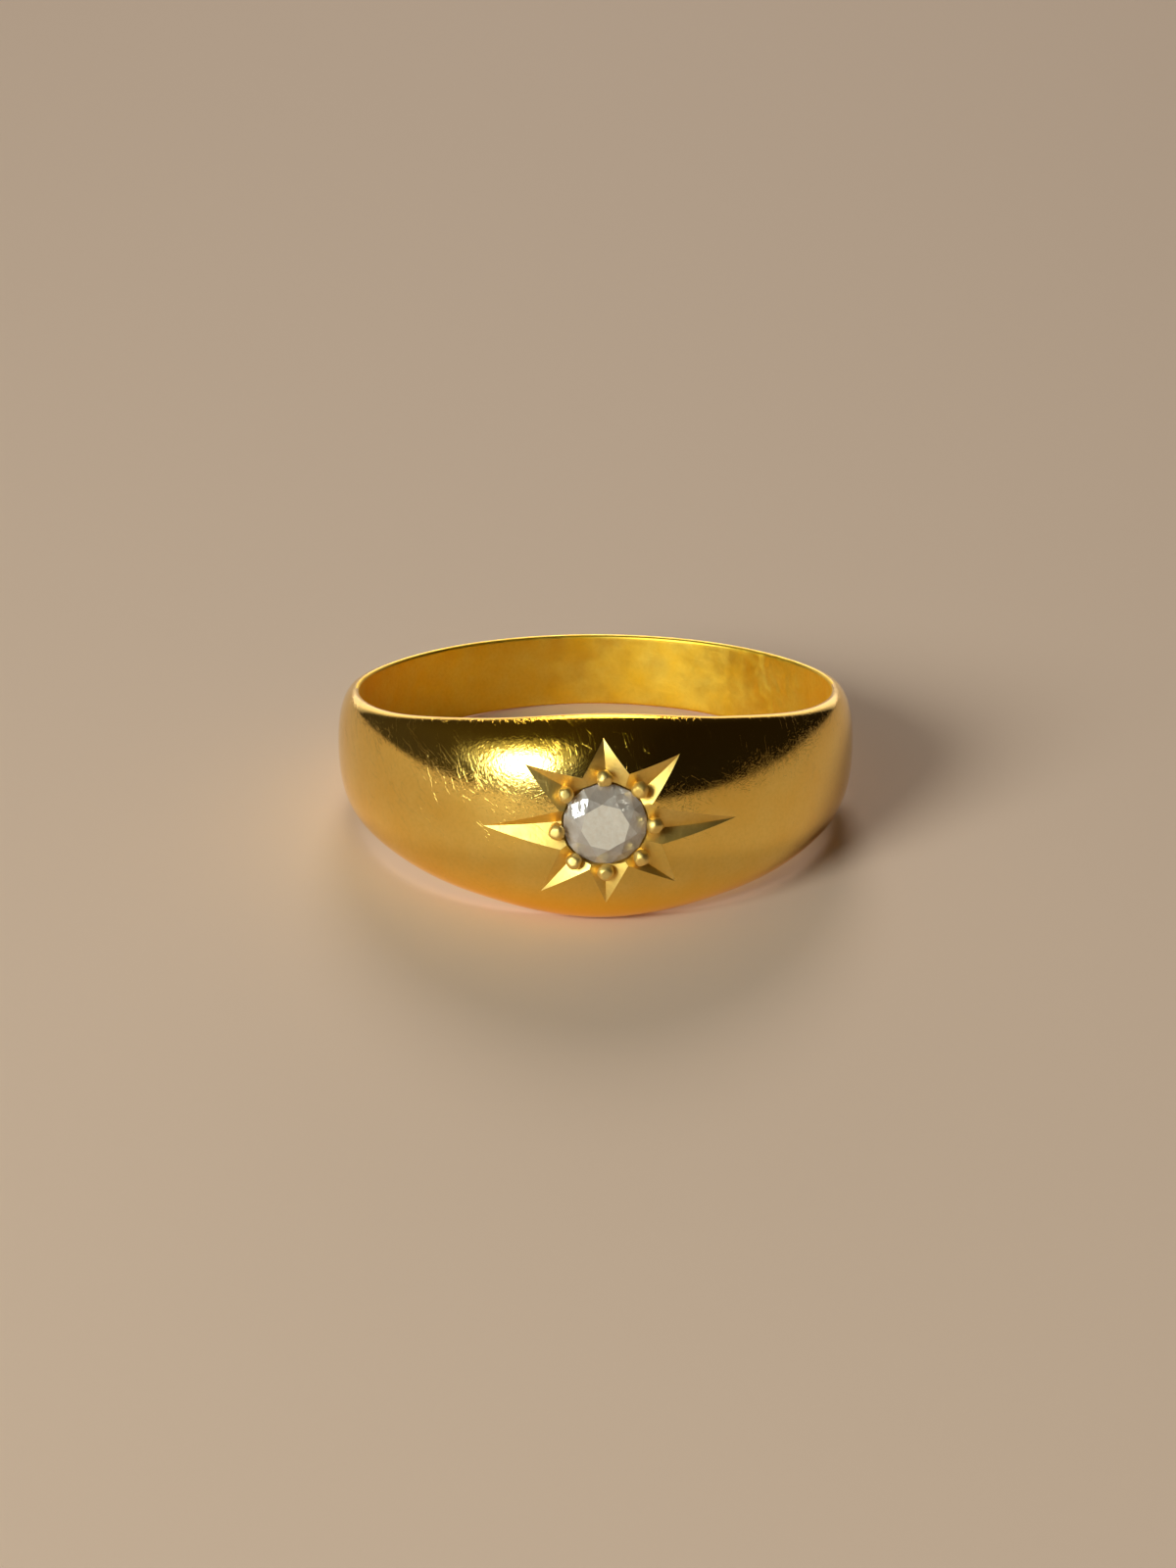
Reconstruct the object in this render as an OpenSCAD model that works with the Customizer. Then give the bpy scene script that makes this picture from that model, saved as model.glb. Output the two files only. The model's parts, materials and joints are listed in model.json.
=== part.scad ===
// Flush set gypsy ring: a tapered, domed band of gold with one round old-cut stone let into
// its head, in the middle of an eight-ray star that is cut into the metal. Eight grains are
// raised from the band's own metal, one at the foot of each ray, and hold the stone down.
// The ring lies on its side as it rests by itself, with +Z up and the head towards -Y.
// Lengths are in millimetres and angles in degrees.

/* [Finger hole] */
// Radius of the finger hole
hole_r = 8.6; // [8:0.1:10]
// Rounding of the hole's two edges
hole_round = 0.12; // [0.06:0.01:0.14]

/* [Band] */
// Width of the band at the head
head_w = 7.3; // [7:0.1:8.4]
// Width of the band at the back
back_w = 2.8; // [2.2:0.1:3.6]
// Thickness of the head at its crest
head_t = 1.9; // [1.8:0.05:2.3]
// Thickness of the band at the back
back_t = 0.8; // [0.7:0.05:1.1]
// Flat rim between the rounded edge of the hole and the foot of the dome
rim_w = 0.16; // [0.15:0.01:0.3]
// Fullness of the dome's section, where 2 is an ellipse and more is squarer
dome_power = 2.3; // [2:0.1:3]

/* [Stone] */
// Diameter of the stone at its girdle
stone_d = 2.86; // [2.6:0.02:3]
// Share of that diameter that the table takes
table_share = 0.53; // [0.45:0.01:0.62]
// Height of the crown above the girdle
crown_h = 0.38; // [0.35:0.01:0.5]
// Thickness of the girdle
girdle_t = 0.06; // [0.04:0.01:0.1]
// Depth of the pavilion below the girdle
pavilion_h = 1.18; // [1:0.02:1.25]
// Diameter of the small facet at the bottom point
culet_d = 0.2; // [0.1:0.02:0.3]
// Height of the table above the crest of the dome
table_proud = 0.0; // [0:0.01:0.1]
// Height of the stone's centre above the middle of the head's width
stone_up = 0.18; // [0:0.01:0.2]
// Turn of the stone's facets about its own axis
stone_turn = 8; // [0:1:45]
// Gap between the stone and the metal
stone_gap = 0.04; // [0.03:0.01:0.06]
// Radius of the open hole behind the stone
back_hole_r = 0.9; // [0.7:0.05:1]

/* [Star and grains] */
// Depth of each ray at its foot, beside the stone
ray_depth = 0.45; // [0.3:0.01:0.5]
// Depth of the ridges between the rays where they meet the stone
ridge_depth = 0.16; // [0.1:0.01:0.25]
// Radius of a grain
grain_r = 0.28; // [0.24:0.01:0.29]
// Depth of a grain's centre below the crest of the dome
grain_sink = 0.17; // [0.1:0.01:0.17]

/* [Hidden] */

// Shares of the way from the back's size to the head's, at even turns away from the head
TAPER_WIDTH = 0;
TAPER_THICK = 1;
TAPER = [
    [1.00, 1.00],
    [0.78, 0.64],
    [0.47, 0.16],
    [0.26, 0.00],
    [0.09, 0.00],
    [0.02, 0.00],
    [0.00, 0.00]];
TAPER_LAST = len(TAPER) - 1;
TAPER_STEP = 180 / TAPER_LAST;

// The star, seen square on with the ring's axis upright: each row is a ray, its tip, the foot of its
// floor beside the stone, the corner between it and the next ray anticlockwise, and its grain, as
// angles and distances from the stone. All the feet lie at foot_r.
RAY_ANGLE = 0;
RAY_REACH = 1;
FOOT_ANGLE = 2;
CORNER_ANGLE = 3;
CORNER_REACH = 4;
GRAIN_ANGLE = 5;
GRAIN_REACH = 6;
RAYS = [
    [ -1.7, 4.83, -11,  23, 1.69,   0, 1.75],
    [ 40.3, 3.55,  41,  65, 1.98,  46, 1.76],
    [ 91.0, 2.92,  91, 115, 1.85,  91, 1.68],
    [144.8, 3.48, 132, 161, 1.64, 141, 1.78],
    [183.8, 4.34, 177, 209, 1.74, 187, 1.71],
    [227.7, 3.39, 227, 251, 1.62, 229, 1.68],
    [271.0, 2.89, 271, 299, 1.63, 271, 1.67],
    [319.2, 3.35, 311, 340, 2.08, 318, 1.73]];

// Facets round the band, across its dome and along each ray, and main facets of the stone
turns = 96;
dome_steps = 16;
ray_steps = 4;
mains = 8;

// Distance from the ring's axis to the crest of the head
crest_r = hole_r + head_t;

// The hoop is drawn with this much metal inside the finger hole, which is drilled away later
core_cut = 0.3;
core_slope = 1.6;
round_mid = 1 - cos(45);

// Heights on the stone's axis, measured from the ring's axis
stone_r = stone_d / 2;
well_r = stone_r + stone_gap;
girdle_r = crest_r + table_proud - crown_h;
bearing_r = girdle_r - girdle_t - stone_gap;
pavilion_slope = pavilion_h / (stone_r - culet_d / 2);
base_mid_r = 0.55 * stone_r;
base_mid_drop = (stone_r - base_mid_r * cos(180 / mains)) * pavilion_slope;
cone_h = (well_r - back_hole_r) * base_mid_drop / (stone_r - base_mid_r);
drill_past = 1;

// The rays start inside the well and run on past their edges, corners and tips by these amounts
foot_r = 0.94 * stone_r;
past_edge = 0.25;
past_corner = 0.6;
tip_past = 0.05;
tip_rise = 0.03;
star_peak = 3;

// Each grain is a ball on a short root that is sunk into the band
root_r = 0.7 * grain_r;
root_h = 0.5;

// At rest the lower edges of the head and of the back both touch the ground
rest_run = 2 * hole_r + hole_round + rim_w;
tilt = atan((head_w - back_w) / 2 / rest_run);

// Size of the band at a turn away from the head, by a smooth curve through the table's rows
function taper_at(i, column) =
    TAPER[i < 0 ? -i : i > TAPER_LAST ? 2 * TAPER_LAST - i : i][column];

function curve_between(before, start, end, after, u) =
    (2 * u^3 - 3 * u^2 + 1) * start
    + (u^3 - 2 * u^2 + u) * (end - before) / 2
    + (3 * u^2 - 2 * u^3) * end
    + (u^3 - u^2) * (after - start) / 2;

function taper(turn, column) =
    let (x = abs(turn) / TAPER_STEP, i = min(floor(x), TAPER_LAST - 1))
    curve_between(
        taper_at(i - 1, column), taper_at(i, column),
        taper_at(i + 1, column), taper_at(i + 2, column), x - i);

function half_w(turn) = (back_w + (head_w - back_w) * taper(turn, TAPER_WIDTH)) / 2;

function crest_t(turn) = back_t + (head_t - back_t) * taper(turn, TAPER_THICK);

// Radius of the dome at a turn and a height along the ring's axis
function dome_r(turn, z) =
    let (across = min(abs(z) / half_w(turn), 1))
    hole_r + rim_w + (crest_t(turn) - rim_w) * sqrt(1 - across^dome_power);

// Section of the band as distances from the axis and heights along it. The inner corners lie
// inside the finger hole, which is drilled later and leaves only the rounding of its edges.
function edge(side, w) = [
    [hole_r - core_cut, side * (w - hole_round - core_slope * core_cut)],
    [hole_r + round_mid * hole_round, side * (w - round_mid * hole_round)],
    [hole_r + hole_round, side * w]];

function dome(turn, w) = [
    for (i = [0 : dome_steps])
        let (z = w * sin(180 * i / dome_steps - 90))
        [dome_r(turn, z), z]];

function section(turn) =
    let (w = half_w(turn), top = edge(1, w))
    concat(edge(-1, w), dome(turn, w), [top[2], top[1], top[0]]);

// A point at a turn, a distance from the axis and a height along it, with the head towards -Y
function around(turn, r, z) = [r * sin(turn), -r * cos(turn), z];

// A point on the head: a distance from the stone's centre in a direction, and a height above the dome
function on_head(angle, reach, rise) =
    let (turn = reach * cos(angle) / crest_r * 180 / PI, z = stone_up + reach * sin(angle))
    around(turn, dome_r(turn, z) + rise, z);

// Faces of a closed hoop of rings that all have the same count of points
function hoop_faces(rings, size) = [
    for (i = [0 : rings - 1], j = [0 : size - 1], half = [0, 1])
        let (a = i * size + j, b = i * size + (j + 1) % size)
        let (shift = (i + 1) % rings * size - i * size)
        half == 0 ? [a, b, b + shift] : [a, b + shift, a + shift]];

// Drops the tilted ring onto the ground and centres it
function tipped(p) = [p[0], p[1] * cos(tilt) + p[2] * sin(tilt), p[2] * cos(tilt) - p[1] * sin(tilt)];

ring_points = [
    for (i = [0 : turns - 1])
        let (turn = 360 * i / turns - 180)
        for (p = section(turn)) around(turn, p[0], p[1])];
tipped_points = [for (p = ring_points) tipped(p)];
low_z = min([for (p = tipped_points) p[2]]);
front_y = min([for (p = tipped_points) p[1]]);
rear_y = max([for (p = tipped_points) p[1]]);

module laid() {
    translate([0, -(front_y + rear_y) / 2, -low_z])
        rotate([-tilt, 0, 0])
            children();
}

// Puts a shape that is drawn along +Z on the stone's axis, with its zero on the ring's axis
module on_stone_axis() {
    translate([0, 0, stone_up])
        rotate([90, 0, 0])
            children();
}

module domed_hoop() {
    polyhedron(points = ring_points, faces = hoop_faces(turns, len(section(0))));
}

module finger_hole() {
    cylinder(r = hole_r, h = 2 * head_w, center = true, $fn = 180);
}

// A straight way between two spots on the head, each an angle and a distance from the stone
function spot_between(from, to, share) =
    let (x = (1 - share) * from[1] * cos(from[0]) + share * to[1] * cos(to[0]))
    let (y = (1 - share) * from[1] * sin(from[0]) + share * to[1] * sin(to[0]))
    [atan2(y, x), norm([x, y])];

// Half of one V-shaped cut, from its tip to its foot: the points of its floor, and the points that
// its side reaches past the line from the tip to the corner. The side rises out of the metal there.
function floor_points(row) = [
    for (k = [1 : ray_steps])
        let (share = k / ray_steps)
        let (spot = spot_between([row[RAY_ANGLE], row[RAY_REACH]], [row[FOOT_ANGLE], foot_r], share))
        on_head(spot[0], spot[1], -ray_depth * share)];

function side_points(row, corner) = [
    for (k = [1 : ray_steps - 1])
        let (share = k / ray_steps, tip = [row[RAY_ANGLE], row[RAY_REACH]])
        let (low = spot_between(tip, [row[FOOT_ANGLE], foot_r], share))
        let (edge = spot_between(tip, corner, share))
        let (spot = spot_between(low, edge, 1 + past_edge))
        on_head(spot[0], spot[1], past_edge * ray_depth * share)];

// Every ray lists its tip, its floor, its side towards the last corner, its side towards the next
// corner, that corner and the foot of the ridge that runs from the corner to the stone
function ray_points(i) =
    let (row = RAYS[i], last = RAYS[(i + len(RAYS) - 1) % len(RAYS)])
    let (corner = [row[CORNER_ANGLE], row[CORNER_REACH]])
    let (past = corner[1] + past_corner * (corner[1] - foot_r))
    concat(
        [on_head(row[RAY_ANGLE], row[RAY_REACH] + tip_past, tip_rise)],
        floor_points(row),
        side_points(row, [last[CORNER_ANGLE], last[CORNER_REACH]]),
        side_points(row, corner),
        [on_head(corner[0], past, past_corner * ridge_depth)],
        [on_head(corner[0], foot_r, -ridge_depth)]);

// The eight rays as one body, closed by a peak above the head and a low point inside the stone's well
module star() {
    rays = len(RAYS);
    size = 3 * ray_steps + 1;
    floor_at = 1;
    last_side = floor_at + ray_steps;
    next_side = last_side + ray_steps - 1;
    corner = next_side + ray_steps - 1;
    ridge = corner + 1;
    peak = rays * size;
    pit = peak + 1;
    faces = [
        for (i = [0 : rays - 1])
            let (at = i * size, back = (i + rays - 1) % rays * size)
            let (last = concat(
                [at], [for (k = [0 : ray_steps - 2]) at + last_side + k], [back + corner]))
            let (next = concat(
                [at], [for (k = [0 : ray_steps - 2]) at + next_side + k], [at + corner]))
            let (low = concat([at], [for (k = [0 : ray_steps - 1]) at + floor_at + k]))
            let (foot = low[ray_steps])
            each concat(
                [for (k = [0 : ray_steps - 1]) each [
                    [low[k], low[k + 1], last[k + 1]],
                    [low[k], last[k + 1], last[k]],
                    [low[k], next[k + 1], low[k + 1]],
                    [low[k], next[k], next[k + 1]],
                    [last[k], last[k + 1], peak],
                    [next[k + 1], next[k], peak]]],
                [
                    [foot, back + ridge, back + corner],
                    [foot, at + corner, at + ridge],
                    [foot, pit, back + ridge],
                    [foot, at + ridge, pit]])];
    polyhedron(
        points = concat(
            [for (i = [0 : rays - 1]) each ray_points(i)],
            [around(0, crest_r + star_peak, stone_up)],
            [around(0, crest_r - 2 * ray_depth, stone_up)]),
        faces = [for (face = faces) if (face[0] != face[1] && face[0] != face[2]) face]);
}

module grain(i) {
    row = RAYS[i];
    spot = on_head(row[GRAIN_ANGLE], row[GRAIN_REACH], 0);
    translate([spot[0], -crest_r + grain_sink, spot[2]]) {
        sphere(r = grain_r, $fn = 24);
        rotate([-90, 0, 0])
            cylinder(r = root_r, h = root_h, $fn = 24);
    }
}

// The drilled seat: a wide well above, a cone under the pavilion and an open back
module seat() {
    on_stone_axis()
        rotate_extrude($fn = 96)
            polygon([
                [0, hole_r - drill_past],
                [back_hole_r, hole_r - drill_past],
                [back_hole_r, bearing_r - cone_h],
                [well_r, bearing_r],
                [well_r, crest_r + drill_past],
                [0, crest_r + drill_past]]);
}

module band() {
    color("goldenrod")
        laid() {
            difference() {
                domed_hoop();
                finger_hole();
                star();
                seat();
            }
            for (i = [0 : len(RAYS) - 1])
                grain(i);
        }
}

// A ring of the stone's corners at a distance from its axis and a height on it
function corners(count, offset, r, h) = [
    for (i = [0 : count - 1])
        let (angle = stone_turn + 360 * (i + offset) / count)
        [r * cos(angle), r * sin(angle), h]];

// The old cut: table, crown stars, kites and girdle halves, then the pavilion's halves and mains
module diamond() {
    table_r = table_share * stone_r / cos(180 / mains);
    crown_slope = crown_h / (stone_r - table_r);
    crown_mid_r = (table_r + stone_r) / 2;
    crown_mid_h = (stone_r - crown_mid_r * cos(180 / mains)) * crown_slope;
    points = concat(
        corners(mains, 0, table_r, crown_h),
        corners(mains, 0.5, crown_mid_r, crown_mid_h),
        corners(2 * mains, 0, stone_r, 0),
        corners(2 * mains, 0, stone_r, -girdle_t),
        corners(mains, 0.5, base_mid_r, -girdle_t - base_mid_drop),
        corners(mains, 0, culet_d / 2, -girdle_t - pavilion_h));
    table = 0;
    mid = mains;
    upper = 2 * mains;
    lower = 4 * mains;
    base = 6 * mains;
    culet = 7 * mains;
    crown_faces = [
        for (i = [0 : mains - 1])
            let (next = (i + 1) % mains)
            let (left = 2 * i + 1, after = 2 * next)
            each [
                [table + i, table + next, mid + i],
                [table + next, upper + after, mid + i],
                [table + next, mid + next, upper + after],
                [mid + i, upper + left, upper + 2 * i],
                [mid + i, upper + after, upper + left]]];
    girdle_faces = [
        for (i = [0 : 2 * mains - 1])
            let (next = (i + 1) % (2 * mains))
            each [[upper + i, lower + next, lower + i], [upper + i, upper + next, lower + next]]];
    base_faces = [
        for (i = [0 : mains - 1])
            let (next = (i + 1) % mains)
            let (left = 2 * i + 1, after = 2 * next)
            each [
                [base + i, lower + 2 * i, lower + left],
                [base + i, lower + left, lower + after],
                [base + i, lower + after, culet + next],
                [base + next, culet + next, lower + after],
                [base + i, culet + next, culet + i]]];
    caps = [
        [for (i = [mains - 1 : -1 : 0]) table + i],
        [for (i = [0 : mains - 1]) culet + i]];
    color("gainsboro")
        laid()
            on_stone_axis()
                translate([0, 0, girdle_r])
                    polyhedron(
                        points = points,
                        faces = concat(crown_faces, girdle_faces, base_faces, caps));
}

band();
diamond();
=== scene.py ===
import json
import math
from collections import namedtuple

import bmesh
import bpy
import numpy as np
from mathutils import Matrix, Vector
from mathutils.geometry import delaunay_2d_cdt

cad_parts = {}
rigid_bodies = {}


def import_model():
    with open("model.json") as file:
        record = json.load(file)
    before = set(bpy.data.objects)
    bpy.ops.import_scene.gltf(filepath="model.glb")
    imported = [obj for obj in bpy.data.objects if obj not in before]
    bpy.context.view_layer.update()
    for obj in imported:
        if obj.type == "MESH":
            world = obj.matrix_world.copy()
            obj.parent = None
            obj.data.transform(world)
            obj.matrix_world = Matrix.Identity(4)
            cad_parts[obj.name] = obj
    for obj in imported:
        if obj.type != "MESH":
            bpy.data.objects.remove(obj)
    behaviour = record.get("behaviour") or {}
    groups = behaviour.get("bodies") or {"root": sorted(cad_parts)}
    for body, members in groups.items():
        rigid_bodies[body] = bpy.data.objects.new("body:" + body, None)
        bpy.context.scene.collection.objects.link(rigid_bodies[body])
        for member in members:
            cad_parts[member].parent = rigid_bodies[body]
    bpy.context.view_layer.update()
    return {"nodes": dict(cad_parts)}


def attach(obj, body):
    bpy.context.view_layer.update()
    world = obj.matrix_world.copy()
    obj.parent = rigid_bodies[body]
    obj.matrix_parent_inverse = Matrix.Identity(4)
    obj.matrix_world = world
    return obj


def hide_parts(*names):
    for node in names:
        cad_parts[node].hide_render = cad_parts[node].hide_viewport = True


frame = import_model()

# Sizes in millimetres, the same as in the part's source
HOLE_R = 8.6
HOLE_ROUND = 0.12
HEAD_W = 7.3
BACK_W = 2.8
HEAD_T = 1.9
BACK_T = 0.8
RIM_W = 0.16
DOME_POWER = 2.3
STONE_R = 1.43
STONE_UP = 0.18
STONE_GAP = 0.04
CROWN_H = 0.38
GIRDLE_T = 0.06
TABLE_PROUD = 0.0
BACK_HOLE_R = 0.9
# Depth of the cone below the stone, which the source works out from its facets
CONE_H = 0.553
RAY_DEPTH = 0.45
GRAIN_R = 0.28
GRAIN_SINK = 0.17
CREST_R = HOLE_R + HEAD_T
WELL_R = STONE_R + STONE_GAP
BEARING_R = CREST_R + TABLE_PROUD - CROWN_H - GIRDLE_T - STONE_GAP
FOOT_R = 0.94 * STONE_R

# Shares of the way from the back's size to the head's, at even turns away from the head
TAPER_STEP = 30
TAPER_WIDTH = [1.00, 0.78, 0.47, 0.26, 0.09, 0.02, 0.00]
TAPER_THICK = [1.00, 0.64, 0.16, 0.00, 0.00, 0.00, 0.00]
TAPER_LAST = len(TAPER_WIDTH) - 1

# Each ray's tip, the foot of its floor, the corner after it and its grain, as angles and distances
# from the stone
RAYS = [
    dict(tip=(-1.7, 4.83), foot=-11, corner=(23, 1.69), grain=(0, 1.75)),
    dict(tip=(40.3, 3.55), foot=41, corner=(65, 1.98), grain=(46, 1.76)),
    dict(tip=(91.0, 2.92), foot=87, corner=(115, 1.85), grain=(91, 1.68)),
    dict(tip=(144.8, 3.48), foot=132, corner=(161, 1.64), grain=(141, 1.78)),
    dict(tip=(183.8, 4.34), foot=177, corner=(209, 1.74), grain=(187, 1.71)),
    dict(tip=(227.7, 3.39), foot=227, corner=(251, 1.62), grain=(229, 1.68)),
    dict(tip=(271.0, 2.89), foot=271, corner=(299, 1.63), grain=(271, 1.67)),
    dict(tip=(319.2, 3.35), foot=311, corner=(340, 2.08), grain=(318, 1.73))]

# Faces of the band's mesh: one column a degree, rows across the dome, the bore and each edge
COLUMNS = 360
DOME_ROWS = 60
BORE_ROWS = 24
EDGE_ROWS = 6
# Columns and rows on each side of the middle that the star's and the drilled hole's patches take
STAR_COLUMNS, STAR_ROWS = 32, 22
DRILL_COLUMNS, DRILL_ROWS = 8, 5
WELL_SIDES = 128
LINE_STEP = 0.08
# Lines are drawn towards the stone past the foot by this share, and this far from a corner
PAST_FOOT, RIDGE_REACH = 0.1, 1.4
# Points inside the patches keep this far from the star's lines, the well and the drilled hole
OFF_LINES, OFF_WELL, OFF_DRILL = 0.05, 0.04, 0.08
# The edges of the finger hole are polished like the dome up to this turn from the head
POLISHED_EDGE_TURN = 90

# Grains: the mesh's sides and rings, how far round the ball goes, the depth of its root, how much
# one differs from the next, and the flatter top, at a share of the radius and so much flatter
GRAIN_SIDES, GRAIN_RINGS = 28, 14
GRAIN_WRAP = 132
GRAIN_ROOT = 0.5
GRAIN_STRETCH = 0.05
GRAIN_LUMPS = ((0.05, 3, 9), (0.03, 5, -14))
GRAIN_LEAN = 0.45
GRAIN_TOP, GRAIN_FLAT = 0.84, 0.85

# Points nearer than this are one point, and a cut shallower than this is none
MERGE = 1e-6
# Edges of the mesh sharper than this stay crisp
CRISP_DEG = 24
METRES = 0.001

POLISHED, CUT, INNER, GRAIN = 0, 1, 2, 3


def taper(turn, shares):
    """A smooth curve through the shares at a turn in degrees away from the head."""
    x = np.abs(np.asarray(turn, float)) / TAPER_STEP
    i = np.minimum(np.floor(x).astype(int), TAPER_LAST - 1)

    def at(k):
        return np.asarray(shares)[np.where(k < 0, -k, np.where(k > TAPER_LAST, 2 * TAPER_LAST - k, k))]

    u = x - i
    before, start, end, after = at(i - 1), at(i), at(i + 1), at(i + 2)
    return (
        (2 * u**3 - 3 * u**2 + 1) * start + (u**3 - 2 * u**2 + u) * (end - before) / 2
        + (3 * u**2 - 2 * u**3) * end + (u**3 - u**2) * (after - start) / 2)


def half_w(turn):
    return (BACK_W + (HEAD_W - BACK_W) * taper(turn, TAPER_WIDTH)) / 2


def dome_r(turn, z):
    across = np.minimum(np.abs(z) / half_w(turn), 1)
    thick = BACK_T + (HEAD_T - BACK_T) * taper(turn, TAPER_THICK)
    return HOLE_R + RIM_W + (thick - RIM_W) * np.sqrt(1 - across**DOME_POWER)


def around(turn, r, z):
    a = np.radians(turn)
    return np.stack(np.broadcast_arrays(r * np.sin(a), -r * np.cos(a), z), -1)


# At rest the lower edges of the head and of the back both touch the ground
TILT = math.atan((HEAD_W - BACK_W) / 2 / (2 * HOLE_R + HOLE_ROUND + RIM_W))


def tipped(points):
    c, s = math.cos(TILT), math.sin(TILT)
    x, y, z = np.moveaxis(np.asarray(points, float), -1, 0)
    return np.stack([x, y * c + z * s, z * c - y * s], -1)


def resting_place():
    """How far the tilted ring is moved to stand on the ground, centred front to back."""
    turn, a = np.meshgrid(np.linspace(-180, 180, 721), np.linspace(-90, 90, 181))
    z = half_w(turn) * np.sin(np.radians(a))
    p = tipped(around(turn, dome_r(turn, z), z)).reshape(-1, 3)
    return np.array([0, -(p[:, 1].min() + p[:, 1].max()) / 2, -p[:, 2].min()])


REST = resting_place()


def placed(points):
    """Ring coordinates to the row frame, still in millimetres."""
    return tipped(points) + REST


def polar(angle, reach):
    return np.array([reach * math.cos(math.radians(angle)), reach * math.sin(math.radians(angle))])


def cut_planes():
    """Each ray's direction and the planes of its two sides, as numbers whose sum with a spot
    (a + b x + c y) is the depth. A plane has no depth at the tip and at the corner, and all of it
    at the foot."""
    planes = []
    for i, ray in enumerate(RAYS):
        tip, foot = polar(*ray["tip"]), polar(ray["foot"], FOOT_R)
        both = []
        for corner in (polar(*RAYS[i - 1]["corner"]), polar(*ray["corner"])):
            rows = np.array([[1, *tip], [1, *corner], [1, *foot]])
            both.append(np.linalg.solve(rows, [0, 0, RAY_DEPTH]))
        planes.append((tip / np.linalg.norm(tip), both))
    return planes


PLANES = cut_planes()


def cut_depth(x, y):
    """Depth of the star below the dome at a spot measured from the stone's centre."""
    depth = np.zeros_like(np.asarray(x, float))
    for way, (last, after) in PLANES:
        sides = [p[0] + p[1] * x + p[2] * y for p in (last, after)]
        one = np.minimum(*sides)
        depth = np.maximum(depth, np.where(way[0] * x + way[1] * y > 0, one, 0))
    return depth


def head_point(x, y):
    """A spot on the head, measured from the stone's centre, on the cut surface in ring coordinates."""
    turn = np.degrees(np.asarray(x) / CREST_R)
    z = STONE_UP + np.asarray(y)
    return around(turn, dome_r(turn, z) - cut_depth(x, y), z)


def off_axis(x, y):
    p = head_point(x, y)
    return math.hypot(p[0], p[2] - STONE_UP)


def to_well(start, end):
    """Where a line over the head meets the wall of the well."""
    low, high = 0.0, 1.0
    for _ in range(50):
        mid = (low + high) / 2
        spot = start + (end - start) * mid
        low, high = (mid, high) if off_axis(*spot) > WELL_R else (low, mid)
    return start + (end - start) * low


def split(start, end):
    count = max(1, round(float(np.linalg.norm(end - start)) / LINE_STEP))
    return [start + (end - start) * k / count for k in range(count + 1)]


def star_lines():
    """Lines that the mesh follows: outlines, floors and ridges, each as a list of spots."""
    lines, feet = [], []
    for i, ray in enumerate(RAYS):
        tip = polar(*ray["tip"])
        last, corner = polar(*RAYS[i - 1]["corner"]), polar(*ray["corner"])
        lines += [split(tip, last), split(tip, corner)]
        foot = polar(ray["foot"], FOOT_R)
        floor_end = to_well(tip, foot + (foot - tip) * PAST_FOOT)
        lines.append(split(tip, floor_end))
        mine, other = PLANES[i][1][1], PLANES[(i + 1) % len(RAYS)][1][0]
        gap = mine - other
        way = np.array([gap[2], -gap[1]])
        way = way * (-1 if way @ corner > 0 else 1) / np.linalg.norm(way)
        ridge_end = to_well(corner, corner + way * RIDGE_REACH)
        lines.append(split(corner, ridge_end))
        feet += [floor_end, ridge_end]
    return lines, feet


def section_rows():
    """Names the rows of a section, from the bottom of the dome round to the bottom edge."""
    rows = [("dome", math.radians(180 * i / DOME_ROWS - 90)) for i in range(DOME_ROWS + 1)]
    rows += [("top", math.radians(90 * i / EDGE_ROWS)) for i in range(EDGE_ROWS + 1)]
    rows += [("bore", 1 - 2 * i / BORE_ROWS) for i in range(1, BORE_ROWS)]
    rows += [("bottom", math.radians(90 * i / EDGE_ROWS)) for i in range(EDGE_ROWS, -1, -1)]
    return rows


def section_point(turn, kind, a):
    w = half_w(turn)
    if kind == "dome":
        z = w * math.sin(a)
        return around(turn, dome_r(turn, z), z)
    if kind == "bore":
        return around(turn, HOLE_R, a * (w - HOLE_ROUND))
    side = 1 if kind == "top" else -1
    z = w - HOLE_ROUND + HOLE_ROUND * math.cos(a)
    return around(turn, HOLE_R + HOLE_ROUND - HOLE_ROUND * math.sin(a), side * z)


def close_to_lines(spots, lines, near):
    """True where a spot lies within a distance of any line."""
    hit = np.zeros(len(spots), bool)
    for line in lines:
        a, b = np.array(line[0]), np.array(line[-1])
        run = b - a
        share = np.clip((spots - a) @ run / (run @ run), 0, 1)
        hit |= np.linalg.norm(spots - a - share[:, None] * run, axis=1) < near
    return hit


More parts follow.
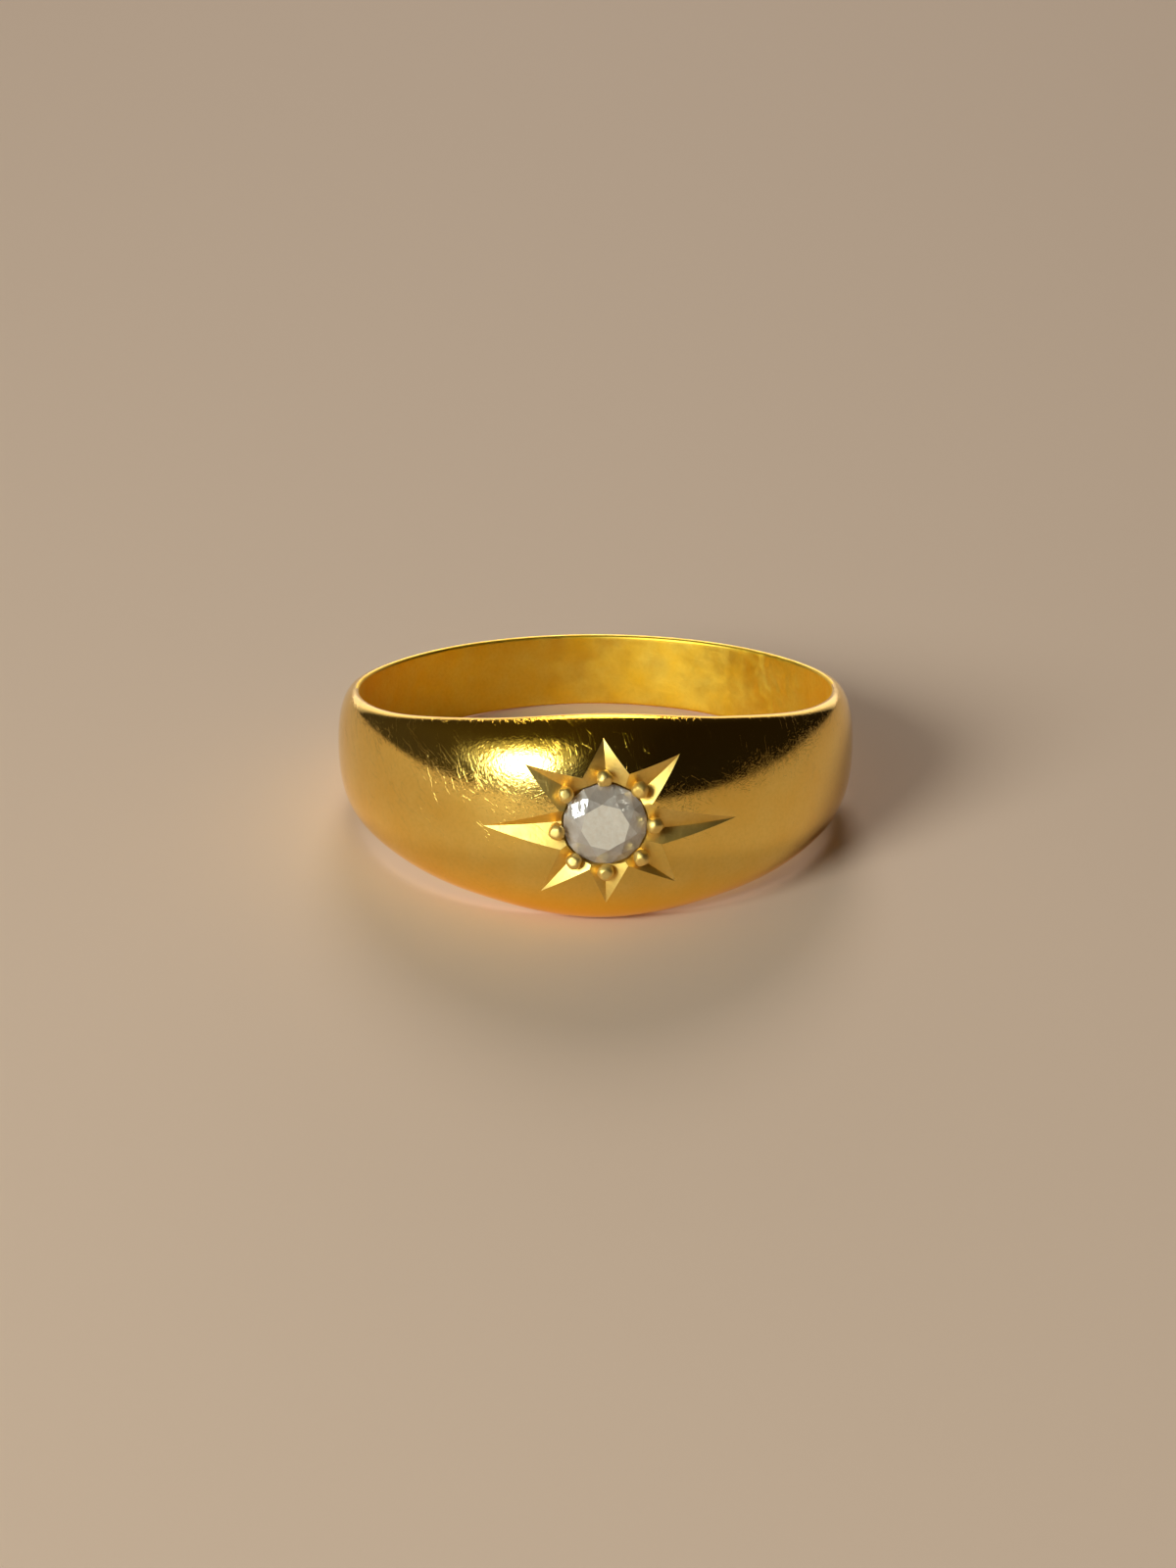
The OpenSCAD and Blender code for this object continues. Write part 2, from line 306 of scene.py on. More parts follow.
class Band:
    """The band's mesh while it is being built, in ring coordinates."""

    def __init__(self):
        self.points, self.faces, self.kinds = [], [], []

    def add(self, points):
        start = len(self.points)
        self.points += [tuple(p) for p in points]
        return list(range(start, start + len(points)))

    def face(self, corners, kind):
        self.faces.append(corners)
        self.kinds.append(kind)

    def hoop(self):
        """The whole band but for the head's middle and the place of the drilled hole."""
        rows = section_rows()
        turns = np.arange(COLUMNS) - COLUMNS // 2
        grid = np.stack([section_point(turns, *row) for row in rows], 1)
        ids = np.array(self.add(grid.reshape(-1, 3))).reshape(COLUMNS, len(rows))
        middle = COLUMNS // 2
        bore_low = DOME_ROWS + 1 + EDGE_ROWS
        dome_mid, bore_mid = DOME_ROWS // 2, bore_low + BORE_ROWS // 2

        def block(columns, row, half_rows):
            return (
                slice(middle - columns, middle + columns + 1),
                slice(row - half_rows, row + half_rows + 1))

        def in_block(i, j, columns, row, half_rows):
            return abs(i + 0.5 - middle) < columns and abs(j + 0.5 - row) < half_rows

        self.star_frame = block(STAR_COLUMNS, dome_mid, STAR_ROWS)
        self.drill_frame = block(DRILL_COLUMNS, bore_mid, DRILL_ROWS)
        for i in range(COLUMNS):
            for j in range(len(rows)):
                if in_block(i, j, STAR_COLUMNS, dome_mid, STAR_ROWS):
                    continue
                if in_block(i, j, DRILL_COLUMNS, bore_mid, DRILL_ROWS):
                    continue
                n, m = (i + 1) % COLUMNS, (j + 1) % len(rows)
                edge = EDGE_ROWS // 2 if abs(turns[i]) < POLISHED_EDGE_TURN else 0
                kind = INNER if DOME_ROWS + edge < j < len(rows) - 1 - edge else POLISHED
                self.face([ids[i, j], ids[n, j], ids[n, m], ids[i, m]], kind)
        self.ids, self.grid = ids, grid

    def patch(self, border, inside, lines, hole, lift, kind_of):
        """Triangles between a border and a round hole that follow the lines. border and hole are
        lists of (spot, point number), inside lists more spots, lift turns spots into points, and
        kind_of gives a triangle's finish."""
        spots, numbers, edges = [], [], []
        known = {}

        def put(spot, number=None):
            key = (round(float(spot[0]), 5), round(float(spot[1]), 5))
            if key not in known:
                known[key] = len(spots)
                spots.append(Vector((float(spot[0]), float(spot[1]))))
                numbers.append(number)
            return known[key]

        for loop in (border, hole):
            at = [put(s, n) for s, n in loop]
            edges += [(at[k], at[(k + 1) % len(at)]) for k in range(len(at))]
        for line in lines:
            at = [put(s) for s in line]
            edges += [(a, b) for a, b in zip(at, at[1:]) if a != b]
        for spot in inside:
            put(spot)
        plan, _, triangles, sources = delaunay_2d_cdt(spots, edges, [], 0, MERGE)[:4]
        known_number = [numbers[source[0]] if source else None for source in sources]
        fresh = [i for i, made in enumerate(known_number) if made is None]
        number = {i: made for i, made in enumerate(known_number) if made is not None}
        plan = np.array([tuple(v) for v in plan])
        for i, made in zip(fresh, self.add(lift(plan[fresh]))):
            number[i] = made
        ring = np.array([s for s, _ in border])
        core = np.array([s for s, _ in hole])
        for tri in triangles:
            middle = plan[list(tri)].mean(0)
            if inside_loop(middle, ring) and not inside_loop(middle, core):
                self.face([number[i] for i in tri], kind_of(middle))


def inside_loop(p, loop):
    """True where a spot lies inside a closed outline."""
    x, y = p
    x1, y1 = loop[:, 0], loop[:, 1]
    x2, y2 = np.roll(x1, -1), np.roll(y1, -1)
    crosses = (y1 > y) != (y2 > y)
    with np.errstate(divide="ignore", invalid="ignore"):
        at = x1 + (y - y1) * (x2 - x1) / (y2 - y1)
    return bool(np.sum(crosses & (x < at)) % 2)


def border_of(ids, spots):
    """The outline of a block of the grid, as (spot, point number)."""
    a, b = ids.shape
    walk = [(i, 0) for i in range(a)] + [(a - 1, j) for j in range(1, b)]
    walk += [(i, b - 1) for i in range(a - 2, -1, -1)] + [(0, j) for j in range(b - 2, 0, -1)]
    return [(spots[i, j], int(ids[i, j])) for i, j in walk]


def seat_rim(feet):
    """Where the star meets the wall of the well: angles round the stone and spots. The ends of the
    star's lines come first, and even steps fill the gaps between them."""
    step = 2 * math.pi / WELL_SIDES
    ends = []
    for spot in feet:
        p = head_point(*spot)
        ends.append(math.atan2(p[2] - STONE_UP, p[0]))

    def to_nearest_end(angle):
        return min(abs((angle - end + math.pi) % (2 * math.pi) - math.pi) for end in ends)

    rim = [(end % (2 * math.pi), spot) for end, spot in zip(ends, feet)]
    for k in range(WELL_SIDES):
        if to_nearest_end(step * k) > 0.4 * step:
            rim.append((step * k, None))
    rim.sort(key=lambda item: item[0])
    spots = []
    for angle, spot in rim:
        if spot is None:
            x, y = WELL_R * math.cos(angle), WELL_R * math.sin(angle)
            for _ in range(8):
                r = float(dome_r(math.degrees(x / CREST_R), STONE_UP + y) - cut_depth(x, y))
                x = CREST_R * math.asin(WELL_R * math.cos(angle) / r)
            spot = np.array([x, y])
        spots.append(spot)
    return [angle for angle, _ in rim], spots


def unrolled(block, radius):
    """A block of the grid as spots from the stone's centre, on a cylinder laid flat."""
    turn = np.degrees(np.arctan2(block[..., 0], -block[..., 1]))
    return np.stack([np.radians(turn) * radius, block[..., 2] - STONE_UP], -1)


def on_bore(spots):
    return around(np.degrees(spots[:, 0] / HOLE_R), HOLE_R, STONE_UP + spots[:, 1])


def build_band():
    band = Band()
    band.hoop()

    # The star, over the head's middle, with half the grid's steps between its lines
    lines, feet = star_lines()
    well_angles, rim_spots = seat_rim(feet)
    well_top = band.add(head_point(*np.array(rim_spots).T))
    columns, rows = band.star_frame
    spots = unrolled(band.grid[columns, rows], CREST_R)
    fine_turn = np.arange(-STAR_COLUMNS + 0.5, STAR_COLUMNS, 0.5)
    fine_row = np.radians(np.arange(-STAR_ROWS + 0.5, STAR_ROWS, 0.5) * 180 / DOME_ROWS)
    t, a = np.meshgrid(fine_turn, fine_row)
    inside = np.stack([np.radians(t) * CREST_R, half_w(t) * np.sin(a) - STONE_UP], -1).reshape(-1, 2)
    inside = inside[~close_to_lines(inside, lines, OFF_LINES)]
    inside = inside[np.linalg.norm(inside, axis=1) > WELL_R + OFF_WELL]
    band.patch(
        border_of(band.ids[columns, rows], spots), inside, lines, list(zip(rim_spots, well_top)),
        lambda p: head_point(p[:, 0], p[:, 1]),
        lambda p: CUT if cut_depth(p[0], p[1]) > MERGE else POLISHED)

    # The drilled hole, where it comes out in the finger hole
    columns, rows = band.drill_frame
    spots = unrolled(band.grid[columns, rows], HOLE_R)
    drill_spots = [
        np.array([HOLE_R * math.asin(BACK_HOLE_R * math.cos(a) / HOLE_R), BACK_HOLE_R * math.sin(a)])
        for a in well_angles]
    drill = band.add(on_bore(np.array(drill_spots)))
    inside = spots[1:-1, 1:-1].reshape(-1, 2)
    inside = inside[np.linalg.norm(inside, axis=1) > BACK_HOLE_R + OFF_DRILL]
    band.patch(
        border_of(band.ids[columns, rows], spots), inside, [], list(zip(drill_spots, drill)),
        on_bore, lambda p: INNER)

    # The seat's wall, cone and drilled hole, between the two
    loops = [well_top]
    a = np.array(well_angles)
    for r, h in ((WELL_R, BEARING_R), (BACK_HOLE_R, BEARING_R - CONE_H)):
        loop = np.stack([r * np.cos(a), np.full_like(a, -h), STONE_UP + r * np.sin(a)], -1)
        loops.append(band.add(loop))
    loops.append(drill)
    for low, high in zip(loops, loops[1:]):
        for k in range(len(a)):
            n = (k + 1) % len(a)
            band.face([low[k], low[n], high[n], high[k]], CUT)
    return band


def mesh_object(name, points, faces, kinds=None):
    mesh = bpy.data.meshes.new(name)
    mesh.from_pydata([tuple(p) for p in points], [], [[int(i) for i in f] for f in faces])
    if kinds is not None:
        mesh.polygons.foreach_set("material_index", kinds)
    work = bmesh.new()
    work.from_mesh(mesh)
    bmesh.ops.remove_doubles(work, verts=work.verts, dist=MERGE)
    bmesh.ops.recalc_face_normals(work, faces=work.faces)
    work.to_mesh(mesh)
    work.free()
    thing = bpy.data.objects.new(name, mesh)
    bpy.context.scene.collection.objects.link(thing)
    return thing


def grain_mesh():
    """Balls on short roots, each a little different, as a list of points and faces."""
    points, faces = [], []
    rng = np.random.default_rng(7)
    for ray in RAYS:
        where = head_point(*polar(*ray["grain"]))
        centre = np.array([where[0], -CREST_R + GRAIN_SINK, where[2]])
        stretch = 1 + GRAIN_STRETCH * rng.uniform(-1, 1, 2)
        turn = rng.uniform(0, math.pi)
        phases = rng.uniform(0, 2 * math.pi, 2)
        lean = rng.uniform(-GRAIN_LEAN, GRAIN_LEAN), rng.uniform(-GRAIN_LEAN, GRAIN_LEAN)
        facing = np.array([lean[0], -1.0, lean[1]])
        facing /= np.linalg.norm(facing)
        start = len(points)
        profile = [
            (math.sin(a) * GRAIN_R, math.cos(a) * GRAIN_R)
            for a in np.linspace(0, math.radians(GRAIN_WRAP), GRAIN_RINGS)]
        profile.append((profile[-1][0], -GRAIN_ROOT))
        points.append(centre + [0, -profile[0][1], 0])
        for r, h in profile[1:]:
            for s in range(GRAIN_SIDES):
                b = 2 * math.pi * s / GRAIN_SIDES
                swell = 1 + sum(
                    amount * math.sin(waves * b + phase + rise * h)
                    for (amount, waves, rise), phase in zip(GRAIN_LUMPS, phases))
                u, v = r * stretch[0] * swell * math.cos(b), r * stretch[1] * swell * math.sin(b)
                points.append(centre + [
                    u * math.cos(turn) - v * math.sin(turn), -h,
                    u * math.sin(turn) + v * math.cos(turn)])
        # The beading tool and wear leave a flatter top that leans a little
        for k in range(start, len(points)):
            over = (points[k] - centre) @ facing - GRAIN_TOP * GRAIN_R
            if over > 0:
                points[k] = points[k] - facing * over * GRAIN_FLAT
        first = [start + 1 + s for s in range(GRAIN_SIDES)]
        rings = [[s + GRAIN_SIDES * k for s in first] for k in range(len(profile) - 1)]
        for s in range(GRAIN_SIDES):
            n = (s + 1) % GRAIN_SIDES
            faces.append([start, rings[0][s], rings[0][n]])
            for upper, lower in zip(rings, rings[1:]):
                faces.append([upper[s], lower[s], lower[n], upper[n]])
        faces.append(rings[-1])
    return points, faces


def crisp(thing, degrees):
    """Smooth shading, with a sharp edge wherever two faces meet at more than an angle."""
    work = bmesh.new()
    work.from_mesh(thing.data)
    for face in work.faces:
        face.smooth = True
    limit = math.radians(degrees)
    for edge in work.edges:
        edge.smooth = len(edge.link_faces) == 2 and edge.calc_face_angle(0) < limit
    work.to_mesh(thing.data)
    work.free()


band = build_band()
ring = mesh_object("ring_gold", placed(band.points), band.faces, band.kinds)
points, faces = grain_mesh()
grains = mesh_object("grains", placed(points), faces)
for face in grains.data.polygons:
    face.material_index = GRAIN


# Materials

def node(tree, kind, **settings):
    made = tree.nodes.new(kind)
    for name, value in settings.items():
        setattr(made, name, value)
    return made


def math_node(tree, operation, a, b=None):
    made = tree.nodes.new("ShaderNodeMath")
    made.operation = operation
    for k, value in enumerate((a, b)):
        if value is None:
            continue
        if isinstance(value, (int, float)):
            made.inputs[k].default_value = value
        else:
            tree.links.new(value, made.inputs[k])
    return made.outputs[0]


def mm_coordinates(tree):
    """Object coordinates in millimetres, so that every texture's size is a real one."""
    size = node(tree, "ShaderNodeVectorMath", operation="SCALE")
    size.inputs["Scale"].default_value = 1 / METRES
    tree.links.new(tree.nodes.new("ShaderNodeTexCoord").outputs["Object"], size.inputs[0])
    return size.outputs[0]


def noise(tree, vector, per_mm, detail, roughness=0.5):
    made = tree.nodes.new("ShaderNodeTexNoise")
    made.inputs["Scale"].default_value = per_mm
    made.inputs["Detail"].default_value = detail
    made.inputs["Roughness"].default_value = roughness
    tree.links.new(vector, made.inputs["Vector"])
    return made


def span(tree, value, low, high, new_low=0.0, new_high=1.0):
    """A value between two numbers, mapped to between two others and held there."""
    made = node(tree, "ShaderNodeMapRange", clamp=True)
    tree.links.new(value, made.inputs["Value"])
    ends = (("From Min", low), ("From Max", high), ("To Min", new_low), ("To Max", new_high))
    for key, number in ends:
        made.inputs[key].default_value = number
    return made.outputs[0]


def cloud(tree, vector, per_mm, detail, low, high, new_low=0.0, new_high=1.0, roughness=0.5):
    """Noise with its values between two numbers mapped to between two others."""
    fac = noise(tree, vector, per_mm, detail, roughness).outputs["Fac"]
    return span(tree, fac, low, high, new_low, new_high)


def blend_colour(tree, factor, first, second):
    mix = node(tree, "ShaderNodeMix", data_type="RGBA")
    tree.links.new(factor, mix.inputs["Factor"])
    for slot, colour in ((6, first), (7, second)):
        if isinstance(colour, tuple):
            mix.inputs[slot].default_value = (*colour, 1)
        else:
            tree.links.new(colour, mix.inputs[slot])
    return mix.outputs[2]


def add(tree, first, second):
    return math_node(tree, "ADD", first, second)


def times(tree, first, second):
    return math_node(tree, "MULTIPLY", first, second)


def dot(tree, vector, direction):
    made = node(tree, "ShaderNodeVectorMath", operation="DOT_PRODUCT")
    tree.links.new(vector, made.inputs[0])
    made.inputs[1].default_value = tuple(direction)
    return made.outputs["Value"]


def bump(tree, height, shader):
    """Tilts the surface by a height given in thousandths of a millimetre."""
    made = tree.nodes.new("ShaderNodeBump")
    made.inputs["Strength"].default_value = 1.0
    made.inputs["Distance"].default_value = METRES / 1000
    tree.links.new(height, made.inputs["Height"])
    tree.links.new(made.outputs["Normal"], shader.inputs["Normal"])


# A set of marks: its turns in degrees, length and width in millimetres, where the peaks of its
# noise begin and end, and its weight
Mark = namedtuple("Mark", "turn length width begin end weight")
# A worn spot: its place, the distances where it begins and ends to fade, the dents in it, a
# millimetre and in depth, and the roughness that it adds
Wear = namedtuple("Wear", "place begin end per_mm depth dullness")
STROKE_HEIGHT = 1.5
# How the marks wander: noise a millimetre, and by how much
SWAYS = ((0.6, 0.5), (3.5, 0.07))


def strokes(tree, bent, mark):
    """Straight marks in one direction: noise stretched along it, with only its peaks kept."""
    place = node(tree, "ShaderNodeMapping", vector_type="TEXTURE")
    place.inputs["Rotation"].default_value = [math.radians(a) for a in mark.turn]
    place.inputs["Scale"].default_value = (mark.length, STROKE_HEIGHT, mark.width)
    tree.links.new(bent, place.inputs["Vector"])
    return cloud(tree, place.outputs[0], 1.0, 1, mark.begin, mark.end, 0.0, mark.weight)


def all_strokes(tree, mm, marks):
    """Every set of marks, swayed a little off straight, in patches."""
    bent = mm
    for per_mm, amount in SWAYS:
        sway = node(tree, "ShaderNodeVectorMath", operation="SCALE")
        sway.inputs["Scale"].default_value = amount
        tree.links.new(noise(tree, mm, per_mm, 2).outputs["Color"], sway.inputs[0])
        both = node(tree, "ShaderNodeVectorMath", operation="ADD")
        tree.links.new(bent, both.inputs[0])
        tree.links.new(sway.outputs[0], both.inputs[1])
        bent = both.outputs[0]
    total = strokes(tree, bent, marks[0])
    for mark in marks[1:]:
        total = math_node(tree, "MAXIMUM", total, strokes(tree, bent, mark))
    return times(tree, total, cloud(tree, mm, 0.5, 3, 0.42, 0.6, 0.35, 1.0))


def painted_edge_glow(tree, mm, tint, painted_glow_tone):
    """A painted warm glow: a deeper orange towards the two edges of the head, standing in for light
    bounced between the gold and the floor.
    """
    middle = float(tipped([0, 0, 1]) @ REST)
    off_middle = math_node(tree, "SUBTRACT", dot(tree, mm, tipped([0, 0, 1])), middle)
    from_middle = span(tree, math_node(tree, "ABSOLUTE", off_middle), 2.0, 3.5)
    return blend_colour(tree, from_middle, tint, painted_glow_tone)


def gold(
        name, tone, deep, smooth, rough, mark_rough, marks, mark_depth, mottle_size, mottle_depth,
        painted_glow_tone=None, wear=None):
    """Gold with a worn polish: hairlines in several directions, a fine mottle and a few pits.
    Its colour drifts from tone to deep, and its roughness from smooth to rough, and a mark adds
    mark_rough. Sizes are in millimetres and depths in thousandths."""
    material = bpy.data.materials.new(name)
    material.use_nodes = True
    tree = material.node_tree
    shader = tree.nodes["Principled BSDF"]
    shader.inputs["Metallic"].default_value = 1.0
    mm = mm_coordinates(tree)
    worn = all_strokes(tree, mm, marks)

    tint = blend_colour(tree, cloud(tree, mm, 0.8, 4, 0.3, 0.7), tone, deep)
    speckle = cloud(tree, mm, 8.0, 3, 0.4, 0.7, 0.0, 0.35)
    tint = blend_colour(tree, speckle, tint, tuple(0.86 * c for c in deep))
    # Painted light: the head's edges are tinted a deeper orange for the glow of light bounced off the
    # floor
    if painted_glow_tone:
        tint = painted_edge_glow(tree, mm, tint, painted_glow_tone)
    tree.links.new(tint, shader.inputs["Base Color"])

    gloss = add(tree, cloud(tree, mm, 1.4, 4, 0.3, 0.7, smooth, rough), times(tree, worn, mark_rough))
    mottle = noise(tree, mm, 1 / mottle_size, 3, 0.6).outputs["Fac"]
    pits = cloud(tree, mm, 4.5, 2, 0.70, 0.76)
    height = add(tree, times(tree, mottle, mottle_depth), times(tree, worn, -mark_depth))
    height = add(tree, height, times(tree, pits, -mark_depth))
    if wear:
        away = node(tree, "ShaderNodeVectorMath", operation="DISTANCE")
        tree.links.new(mm, away.inputs[0])
        away.inputs[1].default_value = wear.place
        near = span(tree, away.outputs["Value"], wear.begin, wear.end, wear.depth, 0.0)
        dents = noise(tree, mm, wear.per_mm, 1).outputs["Fac"]
        height = add(tree, height, times(tree, dents, near))
        gloss = add(tree, gloss, times(tree, near, wear.dullness / wear.depth))
    tree.links.new(gloss, shader.inputs["Roughness"])
    bump(tree, height, shader)
    return material


POLISH_MARKS = [
    Mark((0, 72, 0), 0.70, 0.046, 0.53, 0.64, 0.9),
    Mark((0, 28, 12), 0.60, 0.044, 0.54, 0.64, 0.9),
    Mark((0, -38, -10), 0.70, 0.044, 0.53, 0.64, 0.9),
    Mark((0, 112, 20), 0.55, 0.044, 0.54, 0.64, 0.9),
    Mark((0, 151, 0), 0.60, 0.046, 0.54, 0.64, 0.9),
    Mark((0, 62, -15), 1.6, 0.046, 0.65, 0.70, 1.8),
    Mark((0, 100, 25), 1.2, 0.042, 0.66, 0.71, 1.8),
    Mark((0, 35, 5), 0.9, 0.042, 0.66, 0.71, 1.8)]
CUT_MARKS = [
    Mark((0, 20, 0), 0.7, 0.04, 0.62, 0.72, 1.0),
    Mark((0, 100, 0), 0.5, 0.04, 0.62, 0.72, 1.0)]
INNER_MARKS = [
    Mark((0, 0, 20), 1.6, 0.05, 0.62, 0.72, 1.0),
    Mark((0, 0, 80), 1.2, 0.05, 0.64, 0.72, 1.0),
    Mark((0, 60, 50), 0.6, 0.05, 0.66, 0.72, 1.0)]
# Where the polish of the head and the metal inside the right shoulder are most worn
HEAD_WEAR = Wear(tuple(placed(around(-18, CREST_R - 0.4, 2.4))), 1.0, 4.6, 9.0, 8.0, 0.06)
INNER_WEAR = Wear(tuple(placed(around(126, HOLE_R, 0.4))), 0.8, 2.4, 1.6, 140.0, 0.0)

# In the order of the numbers POLISHED, CUT, INNER and GRAIN
FINISHES = [
    gold(
        "gold_polished", tone=(1.0, 0.71, 0.18), deep=(0.98, 0.64, 0.13),
        smooth=0.045, rough=0.09, mark_rough=0.05, marks=POLISH_MARKS, mark_depth=1.6,
        # painted_glow_tone: a painted warm glow of bounced light towards the head's edges
        mottle_size=0.11, mottle_depth=0.9, painted_glow_tone=(1.0, 0.56, 0.02), wear=HEAD_WEAR),
    gold(
        "gold_cut", tone=(0.95, 0.69, 0.21), deep=(0.90, 0.60, 0.13),
        smooth=0.42, rough=0.50, mark_rough=0.08, marks=CUT_MARKS, mark_depth=2.4,
        mottle_size=0.12, mottle_depth=4.5),
    gold(
        "gold_inside", tone=(1.0, 0.73, 0.11), deep=(1.0, 0.63, 0.04),
        smooth=0.40, rough=0.56, mark_rough=0.06, marks=INNER_MARKS, mark_depth=1.2,
        mottle_size=0.3, mottle_depth=2.0, wear=INNER_WEAR),
    gold(
        "gold_grains", tone=(1.0, 0.77, 0.28), deep=(0.98, 0.69, 0.19),
        smooth=0.44, rough=0.56, mark_rough=0.08, marks=CUT_MARKS, mark_depth=2.0,
        mottle_size=0.16, mottle_depth=7.0)]
for thing in (ring, grains):
    for material in FINISHES:
        thing.data.materials.append(material)

# The grains are one metal with the band. The solver works on millimetres.
join = ring.modifiers.new("grains", "BOOLEAN")
join.operation = "UNION"
join.object = grains
join.solver = "MANIFOLD"
bpy.context.view_layer.update()
depsgraph = bpy.context.evaluated_depsgraph_get()
joined = bpy.data.meshes.new_from_object(ring.evaluated_get(depsgraph), depsgraph=depsgraph)
ring.modifiers.clear()
ring.data = joined
ring.data.transform(Matrix.Scale(METRES, 4))
bpy.data.objects.remove(grains)
crisp(ring, CRISP_DEG)
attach(ring, "root")
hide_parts("band")


def diamond_material():
    """A worn old diamond, clear but greyish, with its table a little milky. Its colour also holds
    painted light and shade: crown facets each lighter or darker, and a table lighter than the crown.
    """
    material = bpy.data.materials.new("old_cut_diamond")
    material.use_nodes = True
    tree = material.node_tree
    shader = tree.nodes["Principled BSDF"]
    shader.inputs["IOR"].default_value = 2.42
    mm = mm_coordinates(tree)
    facet = tree.nodes.new("ShaderNodeNewGeometry").outputs["True Normal"]
    table = span(tree, dot(tree, facet, tipped([0, -1, 0])), 0.97, 0.99)
    veil = cloud(tree, mm, 6.0, 4, 0.3, 0.7, roughness=0.6)
    # Painted shade: the crown's colours run darker than the table's
    crown_light_and_shade = blend_colour(
        tree, cloud(tree, mm, 2.2, 5, 0.35, 0.65, roughness=0.6), (0.74, 0.65, 0.56), (1.0, 0.94, 0.84))
    # Painted light and shade: each facet gets a tone of its own, lighter or darker, as the light inside
    # an old cut gives it
    crown_light_and_shade = blend_colour(tree, cloud(tree, facet, 3.1, 1, 0.36, 0.62), (0.60, 0.52, 0.44), crown_light_and_shade)
    # The table's lighter colour is partly its milkiness and partly painted light
    top = blend_colour(tree, veil, (0.92, 0.81, 0.65), (1.0, 0.95, 0.82))
    tree.links.new(blend_colour(tree, table, crown_light_and_shade, top), shader.inputs["Base Color"])
    gloss = add(tree, times(tree, table, 0.12), times(tree, veil, 0.04))
    tree.links.new(gloss, shader.inputs["Roughness"])
    clear = math_node(tree, "SUBTRACT", 0.44, times(tree, table, 0.2))
    tree.links.new(clear, shader.inputs["Transmission Weight"])
    wavy = noise(tree, mm, 2.6, 2).outputs["Fac"]
    bump(tree, add(tree, times(tree, veil, 0.5), times(tree, wavy, 40.0)), shader)
    return material


stone = frame["nodes"]["diamond"]
stone.data.materials.clear()
stone.data.materials.append(diamond_material())

# Stage: a pale floor, light from the front left, a dim room in front and a bright one behind
FLOOR_HALF = 1.0
floor_mesh = bpy.data.meshes.new("floor")
floor_mesh.from_pydata(
    [(x * FLOOR_HALF, y * FLOOR_HALF, 0) for x, y in ((-1, -1), (1, -1), (1, 1), (-1, 1))],
    [], [(0, 1, 2, 3)])
floor = bpy.data.objects.new("floor", floor_mesh)
bpy.context.scene.collection.objects.link(floor)
pale = bpy.data.materials.new("pale_floor")
pale.use_nodes = True
shader = pale.node_tree.nodes["Principled BSDF"]
shader.inputs["Base Color"].default_value = (0.88, 0.65, 0.48, 1)
shader.inputs["Roughness"].default_value = 0.75
shader.inputs["Specular IOR Level"].default_value = 0.35
floor_mesh.materials.append(pale)

# The room: dim, a little lighter on the left, with a low bright part behind the ring
DIM_LEFT, DIM_RIGHT = (0.052, 0.043, 0.028), (0.012, 0.009, 0.005)
BRIGHT = (1.3, 1.17, 1.05)

world = bpy.data.worlds.new("room")
bpy.context.scene.world = world
world.use_nodes = True
tree = world.node_tree
way = tree.nodes.new("ShaderNodeTexCoord")
part = tree.nodes.new("ShaderNodeSeparateXYZ")
tree.links.new(way.outputs["Generated"], part.inputs[0])
behind = span(tree, part.outputs["Y"], 0.78, 0.90)
low = span(tree, part.outputs["Z"], 0.28, 0.40, 1.0, 0.0)
dim = blend_colour(tree, span(tree, part.outputs["X"], -0.8, 0.5), DIM_LEFT, DIM_RIGHT)
room = blend_colour(tree, times(tree, behind, low), dim, BRIGHT)
tree.links.new(room, tree.nodes["Background"].inputs["Color"])
tree.nodes["Background"].inputs["Strength"].default_value = 1.0

COOL, WARM = (0.93, 1.0, 0.97), (1.0, 0.95, 0.88)
AIM = Vector((0, 0, 0.003))


def area_light(name, azimuth, elevation, distance, size, power, tint):
    """A soft light aimed at the ring, at an azimuth from straight in front, positive to the
    right. Distance and size are in metres and power in watts."""
    data = bpy.data.lights.new(name, "AREA")
    data.shape = "DISK"
    data.size = size
    data.energy = power
    data.color = tint
    lamp = bpy.data.objects.new(name, data)
    bpy.context.scene.collection.objects.link(lamp)
    az, el = math.radians(azimuth), math.radians(elevation)
    flat = distance * math.cos(el)
    lamp.location = (flat * math.sin(az), -flat * math.cos(az), distance * math.sin(el))
    lamp.rotation_euler = (AIM - lamp.location).to_track_quat("-Z", "Y").to_euler()


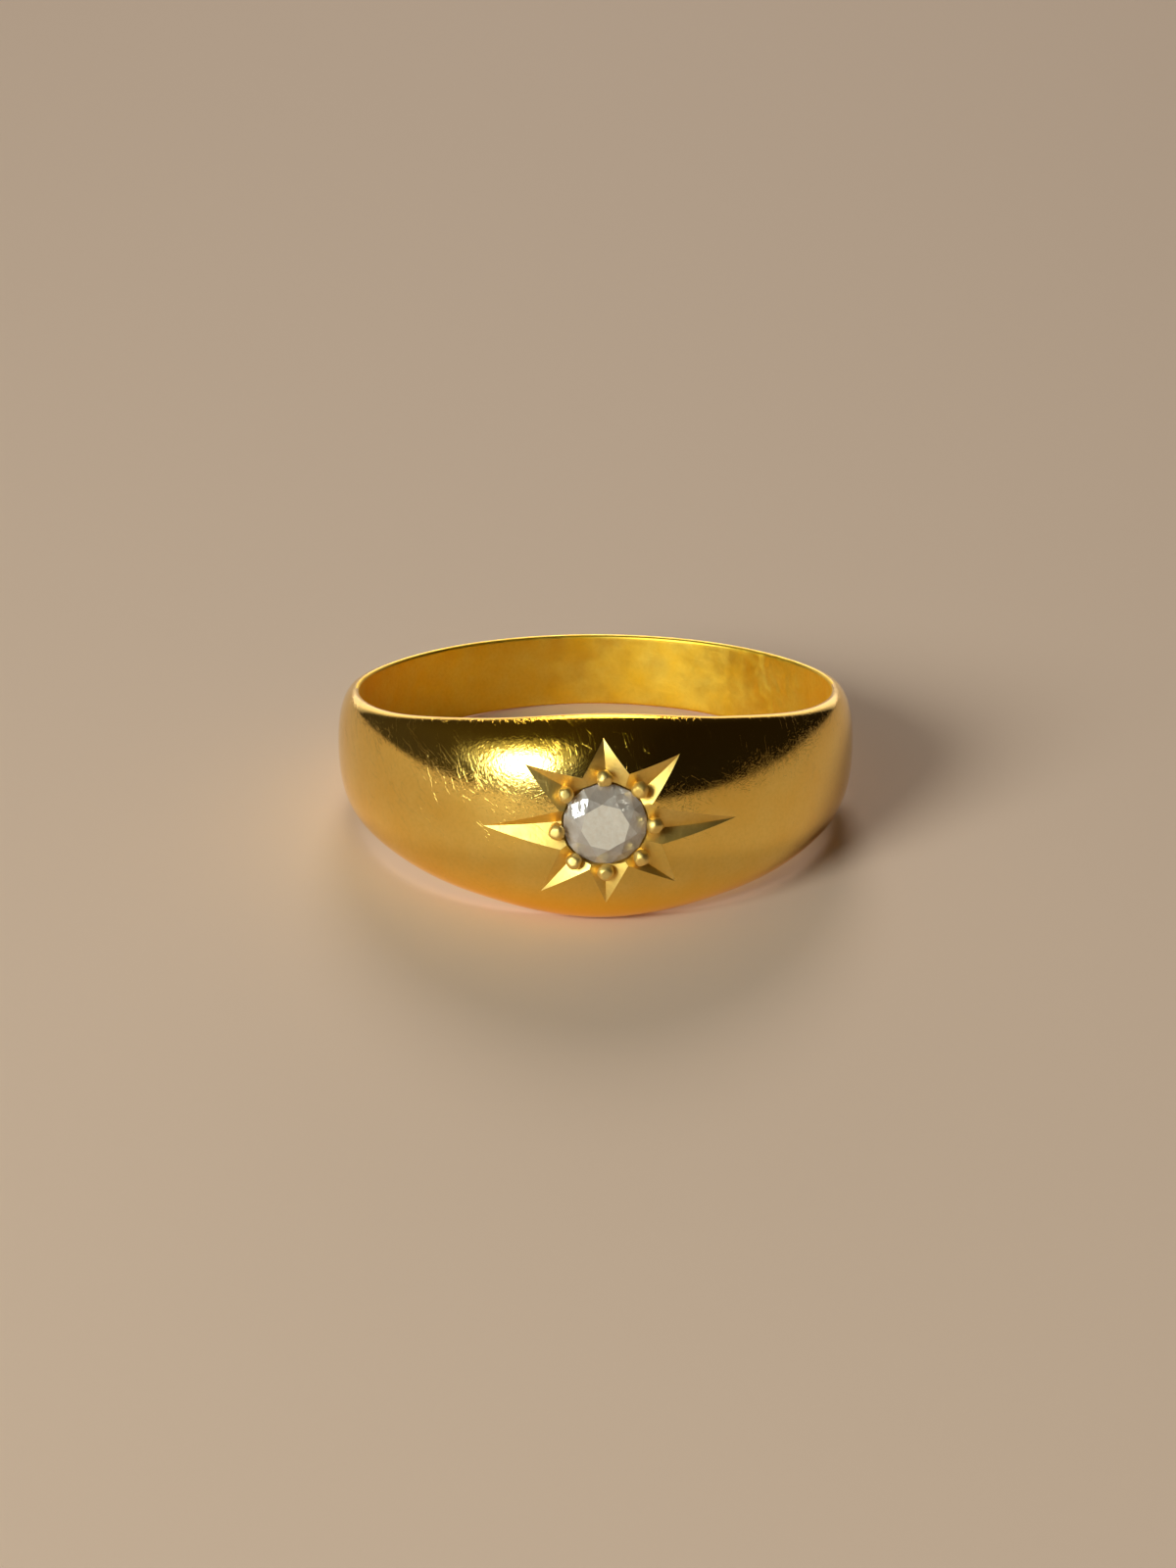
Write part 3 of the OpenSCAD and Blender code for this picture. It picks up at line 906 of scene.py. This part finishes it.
# The first two light the head and make its highlight, and the third spreads a glow round it
area_light("key", azimuth=-44, elevation=26, distance=0.27, size=0.12, power=0.27, tint=COOL)
area_light("far_key", azimuth=-44, elevation=26, distance=1.0, size=0.44, power=3.7, tint=COOL)
area_light("curtain", azimuth=-45, elevation=29, distance=0.30, size=0.28, power=0.08, tint=COOL)
area_light("rear", azimuth=178, elevation=34, distance=1.0, size=0.36, power=2.6, tint=WARM)

# The camera stands at the photograph's angle: it looks down on the ring's own plane by ALPHA
# degrees, comes from BETA to the side, leans by ROLL and is REACH millimetres from the centre
ALPHA, BETA, ROLL, REACH = 17.844, 1.891, 0.118, 120.0
WIDE_PX, HIGH_PX = 1200, 1600
PX_PER_MM = 27.796
FOCAL_PX = PX_PER_MM * REACH
CENTRE_PX = (607.35, 752.13)
SENSOR = 36


def camera():
    a, b, r = math.radians(ALPHA), math.radians(BETA), math.radians(ROLL)
    into = np.array([math.sin(b) * math.cos(a), math.cos(b) * math.cos(a), -math.sin(a)])
    right = np.array([math.cos(b), -math.sin(b), 0])
    up = np.cross(right, into)
    right, up = right * math.cos(r) + up * math.sin(r), up * math.cos(r) - right * math.sin(r)
    place = placed(-REACH * into) * METRES
    right, up, into = (tipped(v) for v in (right, up, into))
    # Turned so that the ring's centre lands where the photograph has it
    ray = into + (
        right * (WIDE_PX / 2 - CENTRE_PX[0]) - up * (HIGH_PX / 2 - CENTRE_PX[1])) / FOCAL_PX
    ray /= np.linalg.norm(ray)
    side = np.cross(ray, up)
    side /= np.linalg.norm(side)
    top = np.cross(side, ray)
    data = bpy.data.cameras.new("camera")
    data.sensor_fit = "VERTICAL"
    data.sensor_height = SENSOR
    data.lens = SENSOR * FOCAL_PX / HIGH_PX
    data.clip_start = METRES
    made = bpy.data.objects.new("camera", data)
    bpy.context.scene.collection.objects.link(made)
    turn = Matrix((side, top, -ray)).transposed().to_4x4()
    made.matrix_world = Matrix.Translation(place) @ turn
    bpy.context.scene.camera = made


camera()
bpy.context.scene.view_settings.view_transform = "Standard"
